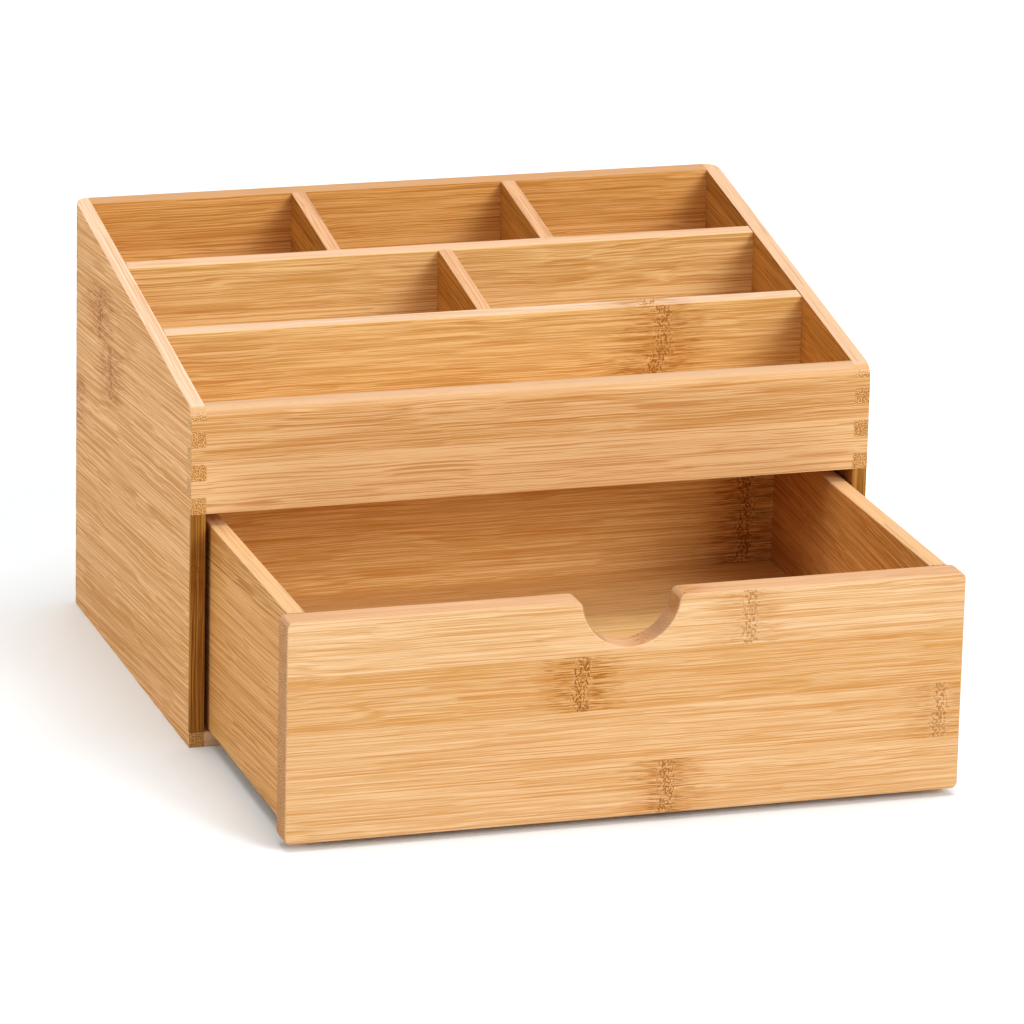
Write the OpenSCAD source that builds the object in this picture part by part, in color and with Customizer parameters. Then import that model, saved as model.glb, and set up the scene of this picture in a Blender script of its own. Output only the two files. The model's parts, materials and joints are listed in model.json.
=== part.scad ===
// Desk organizer of solid bamboo boards: stepped compartments over one drawer.
// The origin is the centre of the case's footprint, at the surface it stands on.
// +X is the case's right side, +Y points to its back and +Z is up.
// The drawer is drawn partly pulled out, along -Y.

/* [Case] */
// Width over both side panels
case_w = 330; // [240:1:420]
// Depth from the front of the apron to the back of the back panel
case_d = 228; // [190:1:300]
// Height of the sloping top at the front
front_h = 163; // [140:1:200]
// Height of the sloping top at the back
back_h = 205; // [180:1:260]
// Thickness of every board of the case
board_t = 7.2; // [6:0.1:10]
// Height of the opening for the drawer, up to the lower edge of the apron
bay_h = 113; // [95:1:125]
// Thickness of the floor under the compartments
tray_t = 6; // [4:0.5:8]
// Radius of the case's top edge at the front
front_corner_r = 7.6; // [4:0.1:8.5]
// Radius of the case's two upright edges at the back
rear_edge_r = 6.5; // [1:0.5:7]
// Depth of the upright strip that lips each side panel beside the drawer
edge_strip_t = 2; // [1:0.5:4]

/* [Joints between the case's boards] */
// Number of fingers at each end of the apron, an odd number
apron_fingers = 7; // [5:2:9]
// Height of the two top fingers there, as a share of the others
top_finger_share = 0.65; // [0.5:0.05:1]
// Number of fingers at each end of the back panel, an odd number
back_fingers = 29; // [21:2:31]
// Depth of the grooves that hold the two floors
groove_depth = 3; // [2:0.5:4]
// Depth of the housings that hold the dividers
housing_depth = 2.5; // [1.5:0.5:3]
// Length of divider end left plain above each housing
housing_stop = 12; // [8:1:20]

/* [Compartments] */
// Distance from the case's front to the front long divider
front_row_end = 77; // [60:1:85]
// Distance from the case's front to the rear long divider
middle_row_end = 149; // [135:1:160]

/* [Drawer] */
// How far the drawer is pulled out
pull = 132; // [0.3:0.1:175]
// How far the drawer front laps over each side panel
front_lap = 1.7; // [0.5:0.1:7]
// Thickness of the drawer front
drawer_front_t = 14; // [12:0.5:16]
// Radius of the drawer front's four corners
drawer_corner_r = 3; // [1:0.5:5]
// Gap under the drawer front
drawer_lift = 3.5; // [0.5:0.5:4]
// Gap between the apron and the top of the drawer
drawer_top_gap = 6; // [3:0.5:10]
// Gap between the drawer and each side panel
side_gap = 2.3; // [1:0.1:4]
// Gap between the drawer and the back panel when the drawer is shut
rear_gap = 2.3; // [1:0.1:20]
// Thickness of the drawer's sides and back
drawer_t = 8.5; // [8:0.5:10]
// Height of the drawer's floor above the desk
drawer_floor_z = 44; // [20:1:50]
// Thickness of the drawer's floor
drawer_floor_t = 4; // [3:0.5:5]
// Depth of the grooves that hold the drawer's floor
drawer_groove = 4; // [2:0.5:5]
// Running gap under the drawer's sides
run_gap = 0.3; // [0.2:0.1:1]
// Number of fingers at the drawer's rear corners, an odd number
drawer_fingers = 9; // [7:2:11]

/* [Finger notch] */
// Radius of the half-round notch
notch_r = 22.8; // [18:0.1:26]
// Radius of its two lips at the top edge
lip_r = 3.5; // [1:0.5:5]

/* [Dowels] */
// Diameter of each dowel
dowel_d = 5; // [4:0.5:6]
// Length of each dowel
dowel_l = 22; // [16:1:28]
// Depth of each dowel in the drawer front
dowel_in_front = 9; // [6:0.5:10]

/* [Hidden] */
$fn = 64;

// Colours: the case's boards, its edge strips, the dividers, the drawer's front and
// box, and the dowels
case_colour = [0.87, 0.66, 0.43];
strip_colour = [0.70, 0.48, 0.27];
divider_colour = [0.90, 0.70, 0.46];
drawer_colour = [0.91, 0.72, 0.49];
box_colour = [0.83, 0.60, 0.37];
dowel_colour = [0.94, 0.86, 0.70];

// A cut runs this far past the face that it opens
eps = 1;

// Case: faces, slope and heights
front_y = -case_d / 2;
back_y = case_d / 2;
outer_x = case_w / 2;
inner_x = outer_x - board_t;
inner_w = 2 * inner_x;
back_inner_y = back_y - board_t;
apron_inner_y = front_y + board_t;
rise = (back_h - front_h) / case_d;
slope_angle = atan(rise);
tray_z = bay_h + 1;
tray_top = tray_z + tray_t;
function slope_z(y) = front_h + rise * (y - front_y);

// Dividers: front faces and the free width of each rear compartment
front_div_y = front_y + front_row_end;
rear_div_y = front_y + middle_row_end;
rear_clear = (inner_w - 2 * board_t) / 3;
rear_cross_x = (rear_clear + board_t) / 2;

// Fingers: one height at the apron, less for its two top ones, and one at the back
apron_finger_h = (front_h - bay_h) / (apron_fingers - 2 + 2 * top_finger_share);
back_finger_h = back_h / back_fingers;

// Spaces that the side panels leave for the fingers of the apron and the back
// panel, each as a low and a high end
apron_spaces = [
    for (i = [1 : 2 : apron_fingers - 2])
        [bay_h + i * apron_finger_h,
         bay_h + (i < apron_fingers - 2 ? i + 1 : i + top_finger_share) * apron_finger_h]
];
back_spaces = [for (i = [1 : 2 : back_fingers - 2]) back_finger_h * [i, i + 1]];

// The bottom board's tongue is half its thickness and stops short of the front
tongue_t = board_t / 2;
tongue_stop = 10;

// Drawer: faces and heights
drawer_back_face_y = front_y - pull;
drawer_top = bay_h - drawer_top_gap;
drawer_w = inner_w - 2 * side_gap;
drawer_front_w = inner_w + 2 * front_lap;
drawer_inner_l = case_d - board_t - rear_gap - drawer_t;
side_z = board_t + run_gap;
side_h = drawer_top - side_z;
side_l = drawer_inner_l + drawer_t;
drawer_inner_x = drawer_w / 2 - drawer_t;
drawer_finger_h = side_h / drawer_fingers;
drawer_panel_z = drawer_floor_z - drawer_floor_t;
drawer_spaces = [
    for (i = [1 : 2 : drawer_fingers - 2])
        [side_z + i * drawer_finger_h, side_z + (i + 1) * drawer_finger_h]
];
upper_h = drawer_top - drawer_floor_z;
dowel_heights = [
    (side_z + drawer_panel_z) / 2, drawer_floor_z + upper_h / 3, drawer_floor_z + upper_h * 2 / 3
];

// Rounded top edge at the case's front: the centre of the arc
front_arc_y = front_y + front_corner_r;
front_arc_z = slope_z(front_arc_y) - front_corner_r / cos(slope_angle);

// Finger notch: the lip circles touch the top edge and just cross the notch circle
lip_overlap = 0.02;
lip_reach = notch_r + lip_r - lip_overlap;
lip_x = sqrt(lip_reach * lip_reach - lip_r * lip_r);
inside_share = (notch_r - eps) / lip_reach;

// A box from its lowest corner to its highest corner
module block(low, high) {
    translate(low) cube(high - low);
}

// Side view of the case, drawn with the depth along X and the height along Y
module side_outline() {
    difference() {
        polygon([
            [front_y, 0], [back_y, 0], [back_y, back_h], [front_y, front_h]
        ]);
        difference() {
            polygon([
                [front_y - eps, front_arc_z],
                [front_arc_y, front_arc_z],
                [front_arc_y - front_corner_r * sin(slope_angle),
                 front_arc_z + front_corner_r * cos(slope_angle)],
                [front_y - eps, front_h + board_t]
            ]);
            translate([front_arc_y, front_arc_z]) circle(r = front_corner_r);
        }
    }
}

// All that is under the case's sloping top and its rounded front edge, to trim the tops
// of the boards between the side panels
module under_slope() {
    rotate([90, 0, 90])
        translate([0, 0, -outer_x])
            linear_extrude(height = case_w)
                side_outline();
}

// What rounding the case's left upright edge at the back takes away
module rear_edge_waste() {
    difference() {
        block([-outer_x - eps, back_y - rear_edge_r, -eps],
            [-outer_x + rear_edge_r, back_y + eps, back_h + eps]);
        translate([-outer_x + rear_edge_r, back_y - rear_edge_r, -2 * eps])
            cylinder(h = back_h + 4 * eps, r = rear_edge_r);
    }
}

// One block for each space of a row of fingers
module finger_blocks(spaces, x_low, x_high, y_low, y_high) {
    for (space = spaces)
        block([x_low, y_low, space[0]], [x_high, y_high, space[1]]);
}

// Left side panel in its place; the right one is its mirror image
module side_panel() {
    difference() {
        translate([-outer_x, 0, 0])
            rotate([90, 0, 90])
                linear_extrude(height = board_t)
                    side_outline();
        finger_blocks(apron_spaces, -outer_x - eps, -inner_x + eps, front_y - eps, apron_inner_y);
        finger_blocks(back_spaces, -outer_x - eps, -inner_x + eps, back_inner_y, back_y + eps);
        block([-inner_x - groove_depth, apron_inner_y, tray_z],
            [-inner_x + eps, back_inner_y, tray_top]);
        block([-inner_x - groove_depth, front_y + tongue_stop, board_t - tongue_t],
            [-inner_x + eps, back_inner_y, board_t]);
        divider_housing(front_div_y);
        divider_housing(rear_div_y);
        block([-outer_x - eps, front_y - eps, board_t],
            [-inner_x + eps, front_y + edge_strip_t, bay_h]);
        rear_edge_waste();
    }
}

// Stopped housing in the left side panel for the end of a long divider
module divider_housing(y) {
    block([-inner_x - housing_depth, y, tray_top],
        [-inner_x + eps, y + board_t, slope_z(y) - housing_stop]);
}

module left_side_panel() {
    color(case_colour) side_panel();
}

module right_side_panel() {
    color(case_colour) mirror([1, 0, 0]) side_panel();
}

// Left edge strip, from the bottom board's height up to the side panel's lowest
// finger; the right one is its mirror image. Its grain runs upright
module edge_strip() {
    block([-outer_x, front_y, board_t], [-inner_x, front_y + edge_strip_t, bay_h]);
}

module left_edge_strip() {
    color(strip_colour) edge_strip();
}

module right_edge_strip() {
    color(strip_colour) mirror([1, 0, 0]) edge_strip();
}

// Back panel: its fingers fill the spaces in the side panels
module back_panel() {
    color(case_colour)
        difference() {
            intersection() {
                union() {
                    block([-inner_x, back_inner_y, 0], [inner_x, back_y, back_h]);
                    finger_blocks(back_spaces, -outer_x, outer_x, back_inner_y, back_y);
                }
                under_slope();
            }
            block([-inner_x, back_inner_y - eps, tray_z],
                [inner_x, back_inner_y + groove_depth, tray_top]);
            block([-inner_x, back_inner_y - eps, board_t - tongue_t],
                [inner_x, back_inner_y + groove_depth, board_t]);
            cross_housing(-rear_cross_x, back_inner_y, 1);
            cross_housing(rear_cross_x, back_inner_y, 1);
            rear_edge_waste();
            mirror([1, 0, 0]) rear_edge_waste();
        }
}

// Stopped housing for the end of a cross divider, in the face at y of a board
// that lies on the side given by way: 1 for towards the back, -1 for the front
module cross_housing(x, y, way) {
    stop_z = slope_z(y) - housing_stop;
    block([x - board_t / 2, min(y - way * eps, y + way * housing_depth), tray_top],
        [x + board_t / 2, max(y - way * eps, y + way * housing_depth), stop_z]);
}

// Apron: the board across the front above the drawer, with its fingers
module front_apron() {
    color(case_colour)
        difference() {
            intersection() {
                union() {
                    block([-inner_x, front_y, bay_h], [inner_x, apron_inner_y, back_h]);
                    finger_blocks(apron_spaces, -outer_x, outer_x, front_y, apron_inner_y);
                }
                under_slope();
            }
            block([-inner_x, apron_inner_y - groove_depth, tray_z],
                [inner_x, apron_inner_y + eps, tray_top]);
        }
}

// Floor of the compartments, let into grooves on all four sides
module tray_floor() {
    color(divider_colour)
        union() {
            block([-inner_x - groove_depth, apron_inner_y, tray_z],
                [inner_x + groove_depth, back_inner_y, tray_top]);
            block([-inner_x, apron_inner_y - groove_depth, tray_z],
                [inner_x, back_inner_y + groove_depth, tray_top]);
        }
}

// A long divider: flush with the slope, its ends stepped down into the housings
module long_divider(y) {
    intersection() {
        union() {
            block([-inner_x, y, tray_top], [inner_x, y + board_t, back_h]);
            block([-inner_x - housing_depth, y, tray_top],
                [inner_x + housing_depth, y + board_t, slope_z(y) - housing_stop]);
        }
        under_slope();
    }
}

module rear_long_divider() {
    color(divider_colour)
        difference() {
            long_divider(rear_div_y);
            cross_housing(-rear_cross_x, rear_div_y + board_t, -1);
            cross_housing(rear_cross_x, rear_div_y + board_t, -1);
            cross_housing(0, rear_div_y, 1);
        }
}

module front_long_divider() {
    color(divider_colour)
        difference() {
            long_divider(front_div_y);
            cross_housing(0, front_div_y + board_t, -1);
        }
}

// A cross divider between the faces at y_low and y_high, flush with the slope
module cross_divider(x, y_low, y_high) {
    intersection() {
        union() {
            block([x - board_t / 2, y_low, tray_top], [x + board_t / 2, y_high, back_h]);
            block([x - board_t / 2, y_low - housing_depth, tray_top],
                [x + board_t / 2, y_low + eps, slope_z(y_low) - housing_stop]);
            block([x - board_t / 2, y_high - eps, tray_top],
                [x + board_t / 2, y_high + housing_depth, slope_z(y_high) - housing_stop]);
        }
        under_slope();
    }
}

module rear_cross_divider_left() {
    color(divider_colour) cross_divider(-rear_cross_x, rear_div_y + board_t, back_inner_y);
}

module rear_cross_divider_right() {
    color(divider_colour) cross_divider(rear_cross_x, rear_div_y + board_t, back_inner_y);
}

module middle_cross_divider() {
    color(divider_colour) cross_divider(0, front_div_y + board_t, rear_div_y);
}

// Bottom board: between the side panels, with a tongue along three edges
module bottom_board() {
    color(case_colour)
        union() {
            block([-inner_x, front_y, 0], [inner_x, back_inner_y, board_t]);
            block([-inner_x - groove_depth, front_y + tongue_stop, board_t - tongue_t],
                [inner_x + groove_depth, back_inner_y, board_t]);
            block([-inner_x, back_inner_y - eps, board_t - tongue_t],
                [inner_x, back_inner_y + groove_depth, board_t]);
        }
}

// Front view of the drawer front, with X across and the height along Y
module drawer_front_outline() {
    half_w = drawer_front_w / 2;
    difference() {
        translate([-half_w, drawer_lift])
            rounded_square(drawer_front_w, drawer_top - drawer_lift, drawer_corner_r);
        translate([0, drawer_top]) circle(r = notch_r);
        translate([0, drawer_top])
            difference() {
                polygon([
                    [-lip_x, eps], [lip_x, eps], [lip_x, -lip_r], inside_share * [lip_x, -lip_r],
                    inside_share * [-lip_x, -lip_r], [-lip_x, -lip_r]
                ]);
                translate([lip_x, -lip_r]) circle(r = lip_r);
                translate([-lip_x, -lip_r]) circle(r = lip_r);
            }
    }
}

// A rectangle with round corners, from the origin
module rounded_square(width, height, radius) {
    translate([radius, 0]) square([width - 2 * radius, height]);
    translate([0, radius]) square([width, height - 2 * radius]);
    for (x = [radius, width - radius], y = [radius, height - radius])
        translate([x, y]) circle(r = radius);
}

// The dowels, or the holes for them, in the joint between the front and both sides
module dowel_set() {
    for (side = [-1, 1], z = dowel_heights)
        translate([side * (drawer_w - drawer_t) / 2, drawer_back_face_y - dowel_in_front, z])
            rotate([-90, 0, 0])
                cylinder(h = dowel_l, d = dowel_d);
}

module drawer_front() {
    color(drawer_colour)
        difference() {
            translate([0, drawer_back_face_y, 0])
                rotate([90, 0, 0])
                    linear_extrude(height = drawer_front_t)
                        drawer_front_outline();
            block([-drawer_inner_x, drawer_back_face_y - drawer_groove, drawer_panel_z],
                [drawer_inner_x, drawer_back_face_y + eps, drawer_floor_z]);
            dowel_set();
        }
}

// Left drawer side in its place; the right one is its mirror image
module drawer_side() {
    end_y = drawer_back_face_y + side_l;
    difference() {
        block([-drawer_w / 2, drawer_back_face_y, side_z],
            [-drawer_inner_x, end_y, drawer_top]);
        finger_blocks(drawer_spaces,
            -drawer_w / 2 - eps, -drawer_inner_x + eps, end_y - drawer_t, end_y + eps);
        block([-drawer_inner_x - drawer_groove, drawer_back_face_y - eps, drawer_panel_z],
            [-drawer_inner_x + eps, end_y - drawer_t, drawer_floor_z]);
        dowel_set();
    }
}

module drawer_left_side() {
    color(box_colour) drawer_side();
}

module drawer_right_side() {
    color(box_colour) mirror([1, 0, 0]) drawer_side();
}

module drawer_back() {
    low_y = drawer_back_face_y + drawer_inner_l;
    high_y = low_y + drawer_t;
    color(box_colour)
        difference() {
            union() {
                block([-drawer_inner_x, low_y, side_z], [drawer_inner_x, high_y, drawer_top]);
                finger_blocks(drawer_spaces, -drawer_w / 2, drawer_w / 2, low_y, high_y);
            }
            block([-drawer_inner_x, low_y - eps, drawer_panel_z],
                [drawer_inner_x, low_y + drawer_groove, drawer_floor_z]);
        }
}

// Drawer floor, let into grooves in the front, the sides and the back
module drawer_bottom() {
    low_y = drawer_back_face_y - drawer_groove;
    high_y = drawer_back_face_y + drawer_inner_l;
    color(box_colour)
        union() {
            block([-drawer_inner_x, low_y, drawer_panel_z],
                [drawer_inner_x, high_y + drawer_groove, drawer_floor_z]);
            block([-drawer_inner_x - drawer_groove, drawer_back_face_y, drawer_panel_z],
                [drawer_inner_x + drawer_groove, high_y, drawer_floor_z]);
        }
}

module drawer_front_dowels() {
    color(dowel_colour) dowel_set();
}

left_side_panel();
right_side_panel();
left_edge_strip();
right_edge_strip();
back_panel();
front_apron();
tray_floor();
rear_long_divider();
front_long_divider();
rear_cross_divider_left();
rear_cross_divider_right();
middle_cross_divider();
bottom_board();
drawer_front();
drawer_left_side();
drawer_right_side();
drawer_back();
drawer_bottom();
drawer_front_dowels();
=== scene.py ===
# %% [markdown]
# # A desk organizer of solid bamboo
# The organizer is a case with a sloping top over one wide drawer. Its construction model
# fixes the size and place of every board and how the drawer slides. This lesson gives each
# board what that model leaves out: rounded arrises, grain that runs the way the board was
# sawn, growth nodes, end grain at the finger joints, and a satin lacquer.

# %% Load the construction model
import json
import math

import bmesh
import bpy
from mathutils import Matrix, Vector
from mathutils.bvhtree import BVHTree


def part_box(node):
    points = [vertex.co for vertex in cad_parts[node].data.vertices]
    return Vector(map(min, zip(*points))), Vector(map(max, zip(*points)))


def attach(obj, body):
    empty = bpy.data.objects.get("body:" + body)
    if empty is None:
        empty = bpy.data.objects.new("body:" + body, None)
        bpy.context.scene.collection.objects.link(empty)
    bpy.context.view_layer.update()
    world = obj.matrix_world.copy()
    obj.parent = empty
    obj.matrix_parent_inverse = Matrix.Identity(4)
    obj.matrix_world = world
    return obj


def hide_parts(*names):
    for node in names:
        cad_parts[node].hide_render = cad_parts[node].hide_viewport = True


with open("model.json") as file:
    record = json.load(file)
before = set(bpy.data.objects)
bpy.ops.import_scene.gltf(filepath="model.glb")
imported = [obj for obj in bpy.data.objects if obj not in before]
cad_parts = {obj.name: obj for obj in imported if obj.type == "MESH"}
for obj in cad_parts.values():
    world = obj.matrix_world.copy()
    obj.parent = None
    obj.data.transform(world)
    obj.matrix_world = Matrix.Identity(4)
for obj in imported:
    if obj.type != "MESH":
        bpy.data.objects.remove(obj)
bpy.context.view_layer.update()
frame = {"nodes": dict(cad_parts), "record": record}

MM = 0.001

# %% [markdown]
# ## The camera
# The picture was taken from far away with a long lens, a little above the desk and from the
# organizer's left. A long lens keeps parallel edges nearly parallel. The camera is placed by
# the point that it looks at, its distance and three angles, because those can be read off
# the slopes of a few long edges one after the other.

# %% Camera
look_at = Vector((3.1, -71.1, 89.6)) * MM
camera_distance = 3074 * MM
camera_yaw = math.radians(17.70)
camera_pitch = math.radians(17.26)
camera_roll = math.radians(1.35)

camera_turn = (
    Matrix.Rotation(-camera_yaw, 4, "Z")
    @ Matrix.Rotation(math.pi / 2 - camera_pitch, 4, "X")
    @ Matrix.Rotation(camera_roll, 4, "Z")
)
camera = bpy.data.objects.new("camera", bpy.data.cameras.new("camera"))
camera.data.sensor_width = 36.0
camera.data.lens = 228.5
camera.matrix_world = Matrix.Translation(look_at) @ camera_turn @ Matrix.Translation(
    (0, 0, camera_distance)
)
bpy.context.scene.collection.objects.link(camera)
bpy.context.scene.camera = camera
print("camera at", [round(x, 2) for x in camera.matrix_world.translation], "m")

# %% [markdown]
# ## The studio
# The organizer stands on white paper that fills the whole picture. A very big soft light
# overhead makes the paper and the tops bright. A smaller one at the front right models the
# front and leaves the left faces in half shade, and a weak one on the left lifts that shade.
# White surroundings fill in the rest. The standard view transform keeps white paper white.

# %% Floor, lights and surroundings
bpy.context.scene.view_settings.view_transform = "Standard"
bpy.context.scene.view_settings.gamma = 0.88

floor_mesh = bpy.data.meshes.new("floor")
floor_reach = 6.0
floor_mesh.from_pydata(
    [(x * floor_reach, y * floor_reach, 0) for x, y in ((-1, -1), (1, -1), (1, 1), (-1, 1))],
    [], [(0, 1, 2, 3)])
floor = bpy.data.objects.new("floor", floor_mesh)
bpy.context.scene.collection.objects.link(floor)
paper = bpy.data.materials.new("paper")
paper.use_nodes = True
paper.node_tree.nodes["Principled BSDF"].inputs["Base Color"].default_value = (0.925, 0.97, 1.0, 1)
paper.node_tree.nodes["Principled BSDF"].inputs["Roughness"].default_value = 0.9
paper.node_tree.nodes["Principled BSDF"].inputs["Specular IOR Level"].default_value = 0.0
floor_mesh.materials.append(paper)

world = bpy.data.worlds.new("white_room")
world.use_nodes = True
world.node_tree.nodes["Background"].inputs["Color"].default_value = (1, 1, 1, 1)
world.node_tree.nodes["Background"].inputs["Strength"].default_value = 0.45
bpy.context.scene.world = world


def soft_light(name, place, size, watts):
    """A square area light at place, in metres, that shines at the organizer."""
    light = bpy.data.lights.new(name, "AREA")
    light.shape = "SQUARE"
    light.size = size
    light.energy = watts
    lamp = bpy.data.objects.new(name, light)
    lamp.location = place
    lamp.rotation_mode = "QUATERNION"
    lamp.rotation_quaternion = (Vector(place) - look_at).to_track_quat("Z", "Y")
    bpy.context.scene.collection.objects.link(lamp)
    return lamp


soft_light("key_light", (3.0, -4.8, 3.0), 3.0, 232)
soft_light("top_light", (0.4, 0.2, 10.0), 7.6, 635)
soft_light("left_fill", (-4.6, -0.4, 1.2), 1.4, 56)

# %% [markdown]
# ## Node helpers
# Every finish below is a small network of shader nodes. A few helpers keep the networks
# short: add() makes a node and fills its sockets, and the others make the kinds that are
# needed most. A socket takes a number, a colour or the output of an earlier node.

# %% Helpers that build shader nodes


def add(tree, kind, sockets=(), **settings):
    """Adds a shader node to tree. sockets is a list, or a dict by name or number."""
    made = tree.nodes.new("ShaderNode" + kind)
    for key, value in settings.items():
        setattr(made, key, value)
    for key, value in sockets.items() if isinstance(sockets, dict) else enumerate(sockets):
        if isinstance(value, bpy.types.NodeSocket):
            tree.links.new(value, made.inputs[key])
        else:
            made.inputs[key].default_value = value
    return made


def calculate(tree, operation, *values):
    """A Math node's output, such as calculate(tree, "ADD", a, b)."""
    return add(tree, "Math", values, operation=operation).outputs[0]


def remap(tree, value, low, high, to_low=0.0, to_high=1.0, smooth=True):
    """value moved from the range low to high into the range to_low to to_high."""
    kind = "SMOOTHSTEP" if smooth else "LINEAR"
    made = add(tree, "MapRange", [value, low, high, to_low, to_high], interpolation_type=kind)
    return made.outputs[0]


def blend(tree, share, first, second, how="MIX"):
    """Two colours mixed by share, a number from 0 to 1 or a socket."""
    made = add(tree, "Mix", {0: share, 6: first, 7: second}, data_type="RGBA", blend_type=how)
    return made.outputs[2]


def new_group(name, inputs, outputs):
    """A shader node group. Each input is name: (kind, value), each output is name: kind."""
    tree = bpy.data.node_groups.new(name, "ShaderNodeTree")
    for label, (kind, value) in inputs.items():
        socket = tree.interface.new_socket(label, in_out="INPUT", socket_type="NodeSocket" + kind)
        socket.default_value = value
    for label, kind in outputs.items():
        tree.interface.new_socket(label, in_out="OUTPUT", socket_type="NodeSocket" + kind)
    return tree, tree.nodes.new("NodeGroupInput").outputs, tree.nodes.new("NodeGroupOutput").inputs


def put(tree, group, sockets):
    """Places a node group in tree and returns its outputs."""
    made = add(tree, "Group", {}, node_tree=group)
    for key, value in sockets.items():
        if isinstance(value, bpy.types.NodeSocket):
            tree.links.new(value, made.inputs[key])
        else:
            made.inputs[key].default_value = value
    return made.outputs


def colour(red, green, blue):
    """A colour on the 0 to 255 scale of paint programs, as the linear one that shaders take."""
    share = [c / 255 for c in (red, green, blue)]
    return (*[c / 12.92 if c <= 0.04045 else ((c + 0.055) / 1.055) ** 2.4 for c in share], 1.0)


print("helpers ready")

# %% [markdown]
# ## How bamboo looks
# A bamboo board is glued up from staves, strips about an inch wide that are sawn from the
# wall of the stalk. Every stave is a bundle of straight fibres in a softer, paler ground, so
# a long face shows fine lines, an end face shows dots, and once or twice along its length a
# stave crosses one of the stalk's growth nodes. Image textures could show all this, but they
# would repeat and stretch. The networks below work it out from the place inside the board,
# so that every face of a board fits the next one.
#
# Place is a point in metres, measured along the grain, across it and through the board. The
# first group cuts a board into staves. It gives each stave a random tone and moves the
# place by a random jump, so that no fibre runs on from one stave into the next.

# %% Shader group: the staves of a board
staves, given, gives = new_group(
    "staves",
    {"Place": ("Vector", (0, 0, 0)), "Width": ("Float", 0.026), "Top": ("Float", 0.0),
     "Seed": ("Float", 0.0)},
    {"Place": "Vector", "Index": "Float", "Tone": "Float", "Joint": "Float"})
apart = add(staves, "SeparateXYZ", [given["Place"]]).outputs
count = calculate(staves, "DIVIDE",
                  calculate(staves, "SUBTRACT", given["Top"], apart["Y"]), given["Width"])
index = calculate(staves, "FLOOR", count)
stave_and_seed = add(staves, "CombineXYZ", [index, given["Seed"], 0.0]).outputs[0]
draw = add(staves, "TexWhiteNoise", [stave_and_seed], noise_dimensions="3D").outputs
from_middle = calculate(staves, "ABSOLUTE",
                        calculate(staves, "SUBTRACT", calculate(staves, "FRACT", count), 0.5))
jump = add(staves, "VectorMath", [draw["Color"], (3.0, 0.5, 0.5)], operation="MULTIPLY").outputs[0]
moved = add(staves, "VectorMath", [given["Place"], jump], operation="ADD").outputs[0]
staves.links.new(moved, gives["Place"])
staves.links.new(index, gives["Index"])
staves.links.new(draw["Value"], gives["Tone"])
staves.links.new(remap(staves, from_middle, 0.486, 0.5), gives["Joint"])
print("staves:", len(staves.nodes), "nodes")

# %% [markdown]
# ## Fibres
# The lines along a stave are noise that is stretched far along the grain. Three sizes are
# needed: fine fibres about a millimetre apart, soft bands of a centimetre or so, and a few
# darker streaks. The lines wander a little, because no stalk is quite straight. Coarseness
# sets them further apart, and Length makes them run on for longer.

# %% Shader group: long fibres


def stretched_noise(tree, place, scale, detail=2.0, roughness=0.5):
    """Noise with its own scale along, across and through the board, per metre."""
    scaled = add(tree, "VectorMath", [place, scale], operation="MULTIPLY").outputs[0]
    sockets = {"Vector": scaled, "Scale": 1.0, "Detail": detail, "Roughness": roughness}
    return add(tree, "TexNoise", sockets).outputs[0]


fibres, given, gives = new_group(
    "fibres", {"Place": ("Vector", (0, 0, 0)), "Coarseness": ("Float", 1.0), "Length": ("Float", 1.0)},
    {"Fine": "Float", "Band": "Float", "Streak": "Float"})
wander = calculate(fibres, "SUBTRACT", stretched_noise(fibres, given["Place"], (9, 22, 22)), 0.5)
wander = calculate(fibres, "MULTIPLY", wander, 0.0035)
ripple = calculate(fibres, "SUBTRACT", stretched_noise(fibres, given["Place"], (40, 90, 90)), 0.5)
wander = calculate(fibres, "MULTIPLY_ADD", ripple, 0.0007, wander)
offset = add(fibres, "CombineXYZ", [0.0, wander, wander]).outputs[0]
place = add(fibres, "VectorMath", [given["Place"], offset], operation="ADD").outputs[0]
finer = calculate(fibres, "DIVIDE", 1.0, given["Coarseness"])
longer = calculate(fibres, "DIVIDE", 1.0, given["Length"])
squeeze = add(fibres, "CombineXYZ", [longer, finer, finer]).outputs[0]
place = add(fibres, "VectorMath", [place, squeeze], operation="MULTIPLY").outputs[0]
fine = stretched_noise(fibres, place, (15, 2100, 2100), 1.0)
band = stretched_noise(fibres, place, (5, 130, 130), 2.0)
streak = stretched_noise(fibres, place, (9, 1500, 1500), 0.5)
fibres.links.new(remap(fibres, fine, 0.36, 0.64), gives["Fine"])
fibres.links.new(remap(fibres, band, 0.35, 0.65), gives["Band"])
fibres.links.new(remap(fibres, streak, 0.54, 0.64), gives["Streak"])
print("fibres:", len(fibres.nodes), "nodes")

# %% [markdown]
# ## Growth nodes
# Where a stave crosses a growth node of the stalk, its fibres swerve and cross. On the
# planed face that is a narrow column, full of short dark strokes across the grain with light
# hooks between them. Dark dashes and darker lines lie for an inch on both sides of it. The
# group needs the place of the node along the grain, which differs for each stave. Spread
# widens the column, as where the wood is cut close to the stalk's skin.

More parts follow.
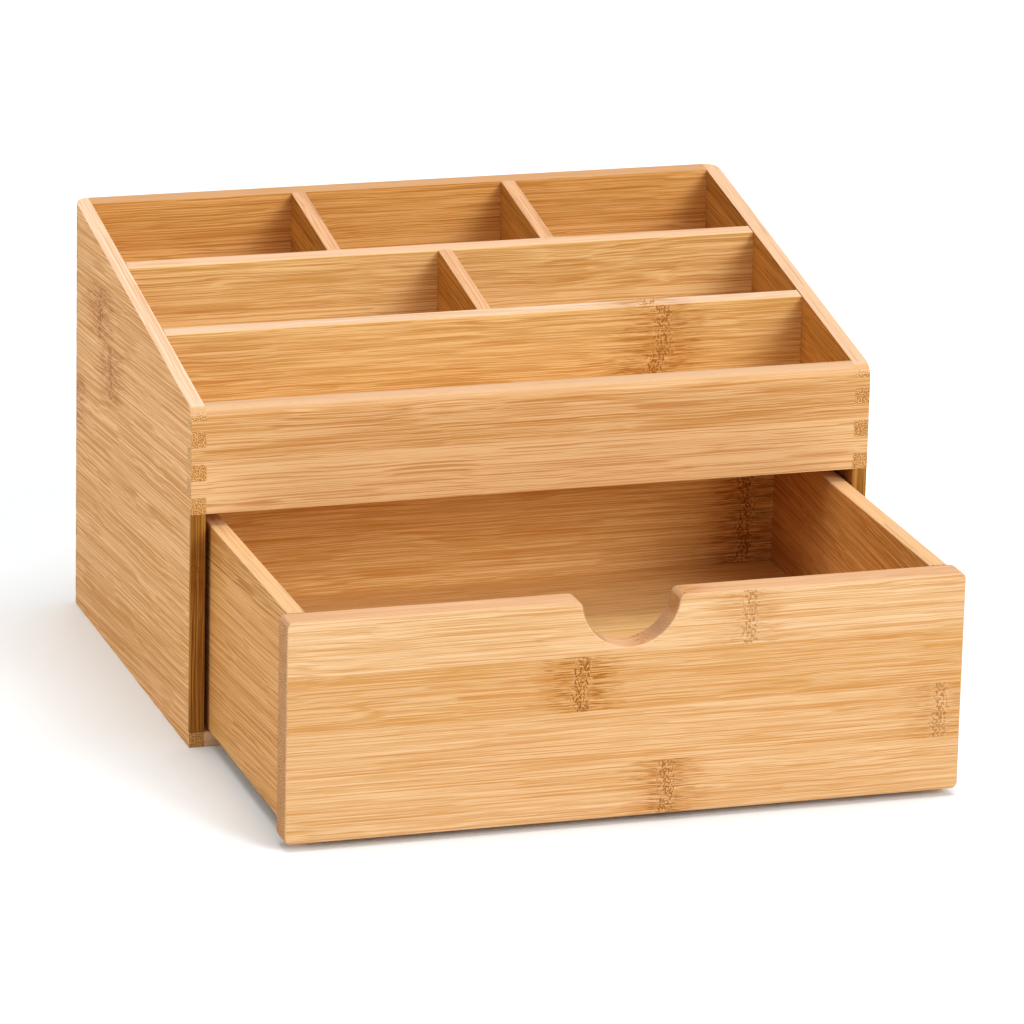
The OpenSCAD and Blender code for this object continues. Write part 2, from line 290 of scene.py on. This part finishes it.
# %% Shader group: growth nodes
growth, given, gives = new_group(
    "growth_nodes",
    {"Place": ("Vector", (0, 0, 0)), "Node Place": ("Float", 9.0), "Spread": ("Float", 1.0)},
    {"Column": "Float", "Stroke": "Float", "Halo": "Float", "Dash": "Float"})
along = add(growth, "SeparateXYZ", [given["Place"]]).outputs["X"]
sway = calculate(growth, "SUBTRACT", stretched_noise(growth, given["Place"], (10, 90, 90), 3.0), 0.5)
along = calculate(growth, "MULTIPLY_ADD", sway, 0.007, along)
away = calculate(growth, "ABSOLUTE", calculate(growth, "SUBTRACT", along, given["Node Place"]))
away = calculate(growth, "DIVIDE", away, given["Spread"])
growth.links.new(remap(growth, away, 0.0030, 0.0060, 1.0, 0.0), gives["Column"])
ragged = calculate(growth, "MULTIPLY", stretched_noise(growth, given["Place"], (30, 500, 500)), 0.034)
growth.links.new(remap(growth, calculate(growth, "SUBTRACT", away, ragged), -0.013, 0.008, 1.0, 0.0),
                 gives["Halo"])
narrow = calculate(growth, "DIVIDE", 1150.0, given["Spread"])
squeeze = add(growth, "CombineXYZ", [narrow, 700, 700]).outputs[0]
squeezed = add(growth, "VectorMath", [given["Place"], squeeze], operation="MULTIPLY").outputs[0]
stroke = add(growth, "TexNoise",
             {"Vector": squeezed, "Scale": 1.0, "Detail": 1.5, "Distortion": 0.7}).outputs[0]
stroke = calculate(growth, "ADD", stroke, remap(growth, away, 0.0005, 0.0060, 0.0, 0.11))
growth.links.new(remap(growth, stroke, 0.54, 0.45), gives["Stroke"])
dash = stretched_noise(growth, given["Place"], (110, 1700, 1700), 1.0)
growth.links.new(remap(growth, dash, 0.50, 0.60), gives["Dash"])
print("growth nodes:", len(growth.nodes), "nodes")

# %% [markdown]
# ## End grain
# On an end face the fibre bundles are cut across. They show as dark dots, less than a
# millimetre apart. A Voronoi texture gives one dot for each cell, and slow noise makes
# them bigger here and there.

# %% Shader group: end grain
end_grain, given, gives = new_group("end_grain", {"Place": ("Vector", (0, 0, 0))}, {"Dots": "Float"})
apart = add(end_grain, "SeparateXYZ", [given["Place"]]).outputs
flat = add(end_grain, "CombineXYZ", [apart["Y"], apart["Z"], 0.0]).outputs[0]
cells = add(end_grain, "TexVoronoi", {"Vector": flat, "Scale": 1400.0, "Randomness": 0.8},
            voronoi_dimensions="2D").outputs
crowd = stretched_noise(end_grain, given["Place"], (0, 150, 150))
grown = calculate(end_grain, "SUBTRACT", cells["Distance"], remap(end_grain, crowd, 0.3, 0.7, 0.0, 0.1))
end_grain.links.new(remap(end_grain, grown, 0.20, 0.45, 1.0, 0.0), gives["Dots"])
print("end grain:", len(end_grain.nodes), "nodes")

# %% [markdown]
# ## The whole finish in one group
# This group puts the parts together: fibres, growth nodes and end grain, and paler wood
# where a saw or sandpaper has cut through the surface. It gives the colour, the roughness
# of the lacquer and a height for the Bump node. The shader itself stays in each material.
# On the tops the paler wood is also a painted sheen of the lacquer, and on the rounded
# arrises a painted highlight.

# %% Shader group: a bamboo board
board_look, given, gives = new_group(
    "bamboo_board",
    {"Place": ("Vector", (0, 0, 0)), "True Place": ("Vector", (0, 0, 0)), "Tone": ("Float", 0.5),
     "Joint": ("Float", 0.0), "Node Place": ("Float", 9.0), "End Share": ("Float", 0.0),
     "Edge Share": ("Float", 0.0), "Rounded": ("Float", 0.0), "Contrast": ("Float", 1.0),
     "Coarseness": ("Float", 1.0), "Length": ("Float", 1.0), "Spread": ("Float", 1.0),
     "Strength": ("Float", 0.0), "Edge Contrast": ("Float", 0.65),
     "Light": ("Color", colour(230, 192, 146)), "Dark": ("Color", colour(196, 141, 70)),
     "Streak": ("Color", colour(184, 118, 44)), "Knot": ("Color", colour(152, 94, 10)),
     "Sawn And Sheen": ("Color", colour(238, 198, 158)), "Pale": ("Color", colour(238, 204, 170)),
     "End Light": ("Color", colour(222, 176, 118)), "End Dark": ("Color", colour(166, 114, 60))},
    {"Color": "Color", "Roughness": "Float", "Height": "Float"})
lines = put(board_look, fibres, {
    "Place": given["Place"], "Coarseness": given["Coarseness"], "Length": given["Length"]})
node = put(board_look, growth, {
    "Place": given["True Place"], "Node Place": given["Node Place"], "Spread": given["Spread"]})
dots = put(board_look, end_grain, {"Place": given["Place"]})["Dots"]

# Fibres: shares of the fine lines and the bands in the tone, then the streaks on top
lightness = calculate(board_look, "MULTIPLY", calculate(board_look, "SUBTRACT", lines["Fine"], 0.5), 0.62)
banded = calculate(board_look, "MULTIPLY", calculate(board_look, "SUBTRACT", lines["Band"], 0.5), 0.10)
lightness = calculate(board_look, "ADD", lightness, banded)
# On the narrow edges the tone is lighter and the colour paler: sawn wood, and on the tops also a painted sheen of the
# lacquer.
plainer = calculate(board_look, "SUBTRACT", given["Edge Contrast"], given["Contrast"])
striped = calculate(board_look, "MULTIPLY_ADD", given["Edge Share"], plainer, given["Contrast"])
middle = calculate(board_look, "MULTIPLY_ADD", given["Edge Share"], 0.2, given["Tone"])
lightness = calculate(board_look, "MULTIPLY_ADD", lightness, striped, middle)
lightness = add(board_look, "Clamp", [lightness, 0.0, 1.0]).outputs[0]
paler = blend(board_look, given["Edge Share"], given["Light"], given["Sawn And Sheen"])
wood = blend(board_look, lightness, given["Dark"], paler)
streaked = calculate(board_look, "MULTIPLY_ADD", given["Edge Share"], -0.25, 0.50)
wood = blend(board_look, calculate(board_look, "MULTIPLY", lines["Streak"], streaked), wood, given["Streak"])
wood = blend(board_look, calculate(board_look, "MULTIPLY", given["Joint"], 0.25), wood, given["Streak"])

# Growth nodes: darker lines around them and strokes in their column
dark_lines = calculate(board_look, "MULTIPLY_ADD", lines["Fine"], -0.6, 0.8)
halo = calculate(board_look, "MULTIPLY", node["Halo"], dark_lines)
wood = blend(board_look, calculate(board_look, "MULTIPLY", halo, given["Strength"]), wood, given["Streak"])
dashes = calculate(board_look, "MULTIPLY", calculate(board_look, "MULTIPLY", node["Halo"], node["Dash"]),
                   given["Strength"])
wood = blend(board_look, calculate(board_look, "MULTIPLY", dashes, 0.75), wood, given["Knot"])
hooks = calculate(board_look, "MULTIPLY", node["Column"], 0.15)
wood = blend(board_look, hooks, wood, given["Light"])
strokes = calculate(board_look, "MULTIPLY", node["Column"], node["Stroke"])
darkness = calculate(board_look, "MULTIPLY_ADD", given["Strength"], 0.55, 0.35)
wood = blend(board_look, calculate(board_look, "MULTIPLY", strokes, darkness), wood, given["Knot"])

# Cut surfaces: paler edges and arrises, and dots where the grain ends. The paler arrises are partly sanded wood and
# partly a painted highlight.
end_face = blend(board_look, dots, given["End Light"], given["End Dark"])
surface = blend(board_look, given["End Share"], wood, end_face)
sanded_and_highlight = calculate(board_look, "MULTIPLY", given["Rounded"], 0.35)
board_look.links.new(blend(board_look, sanded_and_highlight, surface, given["Pale"]), gives["Color"])
board_look.links.new(calculate(board_look, "MULTIPLY_ADD", lines["Fine"], -0.10, 0.52), gives["Roughness"])
hollows = calculate(board_look, "MULTIPLY", strokes, 0.5)
board_look.links.new(calculate(board_look, "SUBTRACT", lines["Fine"], hollows), gives["Height"])
print("bamboo board:", len(board_look.nodes), "nodes")

# %% [markdown]
# ## One material for each board
# Boards differ in the way that their grain runs, in how wide their staves are, and in where
# the growth nodes fall. So each gets its own material, which measures the place inside the
# board and hands it to the groups. What is known of each stave is kept in a colour ramp with
# constant steps: it works as a small table that is read by the number of the stave, with the
# growth node's place in its red values, the stave's tone in its green ones and the node's
# strength in its blue ones.
#
# On a narrow edge that is sawn at a slant the fibres are cut very flat and look like long
# stripes. The place across the grain is pressed together there, which draws the pattern out.

# %% A material for one board
AXES = "xyz"
FAR = 9000.0
TABLE_SPAN = 20000.0
PLAIN = ((FAR, 0.5, 0.0),)


def stave_table(tree, index, known):
    """Three sockets from a list of (growth node's place in mm, tone, strength), one a stave."""
    step = calculate(tree, "DIVIDE", calculate(tree, "ADD", index, 0.5), float(len(known)))
    table = add(tree, "ValToRGB", [step])
    ramp = table.color_ramp
    ramp.interpolation = "CONSTANT"
    while len(ramp.elements) < len(known):
        ramp.elements.new(1.0)
    for number, (place, tone, strength) in enumerate(known):
        ramp.elements[number].position = number / len(known)
        ramp.elements[number].color = (place / TABLE_SPAN + 0.5, tone, strength, 1.0)
    read = add(tree, "SeparateColor", [table.outputs[0]]).outputs
    place = calculate(tree, "MULTIPLY", calculate(tree, "SUBTRACT", read[0], 0.5), TABLE_SPAN * MM)
    return place, read[1], read[2]


def bamboo(name, ways, known=PLAIN, stave_width=26.0, seed=1.0, tilt=0.0, look=None,
           right_face=None):
    """A material for one board. ways names the axes along the grain, across it and through
    the board. The first stave starts at the board's high end, stave_width is in mm, tilt is
    the angle of the grain in degrees, and look holds values for the bamboo_board group.
    right_face holds other colours for the face that looks to the organizer's right, where look may hold darker ones
    with painted shade for the faces that look into the case."""
    along, across = (AXES.index(axis) for axis in ways[:2])
    material = bpy.data.materials.new(name)
    material.use_nodes = True
    tree = material.node_tree
    here = add(tree, "TexCoord").outputs
    spot = add(tree, "SeparateXYZ", [here["Object"]]).outputs
    facing = add(tree, "SeparateXYZ", [here["Normal"]]).outputs
    slopes = [calculate(tree, "ABSOLUTE", part) for part in facing[:3]]
    straight = calculate(tree, "MAXIMUM", calculate(tree, "MAXIMUM", slopes[0], slopes[1]), slopes[2])
    end_share = remap(tree, slopes[along], 0.35, 0.6)
    edge_share = remap(tree, slopes[across], 0.6, 0.9)
    place = add(tree, "CombineXYZ", [spot[AXES.index(axis)] for axis in ways]).outputs[0]
    if tilt:
        place = add(tree, "VectorRotate", {"Vector": place, "Angle": math.radians(tilt)},
                    rotation_type="Z_AXIS").outputs[0]
    pressed = add(tree, "VectorMath", [place, (1.0, 0.02, 1.0)], operation="MULTIPLY").outputs[0]
    pattern_place = add(tree, "Mix", {0: edge_share, 4: place, 5: pressed}, data_type="VECTOR").outputs[1]

    look = dict(look or {})
    # Painted shade: look may hold darker colours for faces in shade, and the face that looks to the right takes
    # right_face's colours instead.
    for label, shade in (right_face or {}).items():
        look[label] = blend(tree, remap(tree, facing["X"], 0.3, 0.6), look[label], shade)

    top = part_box(name)[1][across]
    strips = put(tree, staves, {"Place": pattern_place, "Width": stave_width * MM, "Top": top, "Seed": seed})
    node_place, tone, strength = stave_table(tree, strips["Index"], known)
    random_tone = calculate(tree, "MULTIPLY", calculate(tree, "SUBTRACT", strips["Tone"], 0.5), 0.12)
    finish = put(tree, board_look, {
        "Place": strips["Place"], "True Place": place, "Joint": strips["Joint"],
        "Tone": calculate(tree, "ADD", tone, random_tone), "Node Place": node_place, "Strength": strength,
        "End Share": end_share, "Edge Share": edge_share,
        "Rounded": remap(tree, straight, 0.96, 0.85), **look})
    bump = add(tree, "Bump", {"Strength": 0.3, "Distance": 0.0001, "Height": finish["Height"]})
    shader = tree.nodes["Principled BSDF"]
    tree.links.new(finish["Color"], shader.inputs["Base Color"])
    tree.links.new(finish["Roughness"], shader.inputs["Roughness"])
    tree.links.new(bump.outputs[0], shader.inputs["Normal"])
    shader.inputs["Specular IOR Level"].default_value = 0.06
    return material


print("material maker ready")

# %% [markdown]
# ## From construction solid to finished board
# The construction model has sharp edges. A joiner breaks every edge that a hand can touch
# with sandpaper, but never an edge inside a joint, because that would leave a gap there. The
# code does the same: it copies the board's solid, tries points just outside each edge, and
# rounds the edge only where most of them are in free air. The material knows the rounded
# faces by their slanting normals and makes them paler: partly sanded wood, partly a painted
# highlight.

# %% Which edges are free
solids = {}
for name, cad_object in frame["nodes"].items():
    solid = bmesh.new()
    solid.from_mesh(cad_object.data)
    solids[name] = (BVHTree.FromBMesh(solid), *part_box(name))
    solid.free()
RAY = Vector((0.123, 0.456, 0.881)).normalized()
REACH = 0.2 * MM
HAIR = 0.001 * MM


def inside(tree, point):
    """True if a ray from point crosses the solid's skin an odd number of times."""
    crossings = 0
    while True:
        hit = tree.ray_cast(point, RAY)[0]
        if hit is None:
            return crossings % 2 == 1
        crossings += 1
        point = hit + RAY * HAIR


def in_free_air(point, own_name):
    """True if point is in none of the other boards."""
    for name, (tree, low, high) in solids.items():
        near = all(a <= p <= b for a, p, b in zip(low, point, high))
        if name != own_name and near and inside(tree, point):
            return False
    return True


def is_exposed(edge, own_name):
    """True for a sharp outer edge with free air around most of its length."""
    if len(edge.link_faces) != 2 or edge.calc_face_angle_signed(0.0) < math.radians(25):
        return False
    first, second = (face.normal for face in edge.link_faces)
    ways_out = (first, second, (first + second).normalized())
    start, end = (vertex.co for vertex in edge.verts)
    shares = (0.06, 0.2, 0.35, 0.5, 0.65, 0.8, 0.94)
    free = [all(in_free_air(start.lerp(end, share) + way * REACH, own_name) for way in ways_out)
            for share in shares]
    return sum(free) > len(shares) / 2


print("solids ready:", len(solids))

# %% [markdown]
# ## Smooth shading on flat boards
# Smooth shading bends the light on a flat face that borders a rounded edge. Weighted
# normals prevent that: at each corner the biggest face decides which way the surface looks,
# so that the faces of a board stay flat and only the arris looks round.

# %% Make a finished board
ROUND_BELOW = math.radians(35)


def finish_board(name, material, arris=0.8):
    """A copy of the node's solid with its free edges rounded, in place of the node."""
    mesh = bmesh.new()
    mesh.from_mesh(frame["nodes"][name].data)
    bmesh.ops.remove_doubles(mesh, verts=mesh.verts, dist=0.002 * MM)
    bmesh.ops.dissolve_limit(mesh, angle_limit=math.radians(1), verts=mesh.verts, edges=mesh.edges)
    mesh.normal_update()
    edges = [edge for edge in mesh.edges if is_exposed(edge, name)]
    bmesh.ops.bevel(mesh, geom=edges, offset=arris * MM, offset_type="OFFSET",
                    segments=3, profile=0.5, affect="EDGES", clamp_overlap=True)
    for face in mesh.faces:
        face.smooth = True
    for edge in mesh.edges:
        edge.smooth = abs(edge.calc_face_angle(0.0)) < ROUND_BELOW
    data = bpy.data.meshes.new("finished_" + name)
    mesh.to_mesh(data)
    mesh.free()
    data.materials.append(material)
    board = bpy.data.objects.new("finished_" + name, data)
    bpy.context.scene.collection.objects.link(board)
    weights = board.modifiers.new("weighted_normals", "WEIGHTED_NORMAL")
    weights.keep_sharp = True
    bodies = frame["record"]["behaviour"]["bodies"]
    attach(board, next(body for body, members in bodies.items() if name in members))
    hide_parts(name)
    print(f"{name}: {len(edges)} edges rounded, {len(data.polygons)} faces")


# %% [markdown]
# ## The case
# All its boards come from the same stock, but each is cut from another place, so each has
# its own seed. The grain runs along the longest side of every board. On the side panels it
# also rises a little to the front. The growth nodes that the picture shows are put in
# their places.

# %% Side panels, back panel, apron and bottom
SIDE = {"Coarseness": 1.2, "Length": 2.5, "Spread": 1.4, "Contrast": 1.5, "Knot": colour(150, 88, 20),
        "Light": colour(230, 183, 131), "Dark": colour(198, 145, 84), "Streak": colour(186, 127, 62)}
LEFT = SIDE | {"Sawn And Sheen": colour(246, 216, 190), "Edge Contrast": 0.5}
# The right side panel's inner face, which looks into the case, gets darker colours: painted shade. Its top is darker
# too.
RIGHT_SHADED = SIDE | {"Sawn And Sheen": colour(226, 190, 156), "Edge Contrast": 1.0, "Light": colour(198, 142, 72),
                "Dark": colour(154, 98, 34), "Streak": colour(134, 78, 20), "Coarseness": 0.8}
finish_board("left_side_panel", bamboo(
    "left_side_panel", "yzx", ((FAR, 0.5, 0), (48.0, 0.45, 0.9), (30.0, 0.5, 0.8), (106.0, 0.5, 0.9), (FAR, 0.45, 0)),
    seed=3.0, tilt=4.0, look=LEFT), 0.9)
# The side panels' own colours, without the painted shade, for the right panel's outer face.
OUTSIDE = {label: SIDE[label] for label in ("Light", "Dark", "Streak")}
finish_board("right_side_panel", bamboo(
    "right_side_panel", "yzx", seed=4.0, tilt=-7.0, look=RIGHT_SHADED, right_face=OUTSIDE), 0.9)
# The back panel's colours are lighter and more golden than the side panels', matched to its inner face in the
# compartments: painted light.
BACK_LIT = {"Light": colour(243, 195, 129), "Dark": colour(208, 148, 70), "Streak": colour(186, 118, 40),
        "End Light": colour(196, 146, 88), "End Dark": colour(132, 84, 38), "Sawn And Sheen": colour(206, 162, 120)}
finish_board("back_panel", bamboo("back_panel", "xzy", seed=5.0, look=BACK_LIT), 0.9)
APRON = {"Sawn And Sheen": colour(210, 173, 137), "Pale": colour(216, 180, 146)}
finish_board("front_apron", bamboo("front_apron", "xzy", seed=6.0, look=APRON), 0.6)
finish_board("bottom_board", bamboo("bottom_board", "xyz", seed=7.0), 0.5)

# %% Edge strips
STRIP = {"Light": colour(200, 146, 72), "Dark": colour(138, 90, 36), "Streak": colour(116, 70, 24),
         "Sawn And Sheen": colour(176, 124, 62), "Pale": colour(170, 120, 62)}
for number, name in enumerate(("left_edge_strip", "right_edge_strip")):
    finish_board(name, bamboo(name, "zxy", ((86.0, 0.5, 0.7),), seed=8.0 + number, look=STRIP),
                 0.4)

# %% Compartments
# The long dividers and the tray floor get paler colours than the side panels: painted light that makes up for the
# shade in the compartments.
INSIDE_LIT = {"Light": colour(247, 213, 158), "Dark": colour(211, 159, 84),
          "Streak": colour(192, 132, 54), "Sawn And Sheen": colour(224, 188, 156)}
GOLDEN = INSIDE_LIT | {"Spread": 1.2, "Knot": colour(164, 102, 24), "Sawn And Sheen": colour(228, 206, 188)}
# The cross dividers get darker colours than the other compartment boards: painted shade, since their faces stand in
# the shade of the compartments.
CROSS_SHADED = {"Light": colour(204, 146, 72), "Dark": colour(154, 98, 34), "Streak": colour(130, 76, 18),
         "Sawn And Sheen": colour(228, 182, 142), "Coarseness": 0.8, "Contrast": 1.4, "Edge Contrast": 1.8}
finish_board("rear_long_divider", bamboo("rear_long_divider", "xzy", seed=11.0, look=INSIDE_LIT))
finish_board("front_long_divider", bamboo(
    "front_long_divider", "xzy", ((87.0, 0.5, 0.7), (84.0, 0.5, 0.9), (80.0, 0.5, 0.7)),
    seed=12.0, look=GOLDEN))
for number, name in enumerate(("rear_cross_divider_left", "rear_cross_divider_right",
                               "middle_cross_divider")):
    finish_board(name, bamboo(name, "yzx", seed=13.0 + number, tilt=-7.0, look=CROSS_SHADED))
finish_board("tray_floor", bamboo("tray_floor", "xyz", seed=16.0, look=INSIDE_LIT), 0.5)

# %% [markdown]
# ## The drawer
# The drawer front is the board that shows most. It has four staves, and each of them
# crosses a growth node at another place. The second stave is darker than the others.

# %% Drawer front
FRONT = {"Contrast": 0.8, "Sawn And Sheen": colour(224, 184, 150), "Pale": colour(226, 190, 158),
         "Light": colour(230, 196, 156), "Dark": colour(200, 147, 82), "Streak": colour(192, 130, 60),
         "End Light": colour(200, 152, 102), "End Dark": colour(152, 104, 60)}
FRONT_STAVES = ((55.6, 0.66, 0.35), (-22.5, 0.28, 1.0), (149.0, 0.5, 0.45), (18.0, 0.57, 0.75))
front_low, front_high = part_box("drawer_front")
front_stave_width = (front_high.z - front_low.z) / len(FRONT_STAVES) / MM
finish_board("drawer_front", bamboo(
    "drawer_front", "xzy", FRONT_STAVES, front_stave_width, seed=21.0, look=FRONT), 1.0)
print("a stave of the drawer front is", round(front_stave_width, 1), "mm wide")

# %% Drawer box and dowels
BOX_SIDE = {"Coarseness": 1.2, "Length": 2.5, "Contrast": 1.6, "Light": colour(215, 164, 104),
            "Dark": colour(178, 123, 60), "Streak": colour(166, 106, 44), "Sawn And Sheen": colour(228, 188, 142),
            "Edge Contrast": 0.9}
FINER_SIDE = BOX_SIDE | {"Coarseness": 0.85, "Contrast": 1.9}
BOX = {"Contrast": 1.3, "Light": colour(248, 216, 160), "Dark": colour(220, 170, 98), "Streak": colour(204, 144, 68)}
finish_board("drawer_left_side", bamboo(
    "drawer_left_side", "yzx", seed=22.0, tilt=4.0, look=BOX_SIDE))
finish_board("drawer_right_side", bamboo(
    "drawer_right_side", "yzx", seed=23.0, tilt=-4.0, look=FINER_SIDE))
finish_board("drawer_back", bamboo("drawer_back", "xzy", ((133.0, 0.5, 1.0),) * 4, seed=24.0, look=BOX))
finish_board("drawer_bottom", bamboo("drawer_bottom", "xyz", ((FAR, 0.7, 0.0),), seed=25.0, look=BOX),
             0.5)
finish_board("drawer_front_dowels", bamboo("drawer_front_dowels", "yzx", seed=26.0), 0.3)
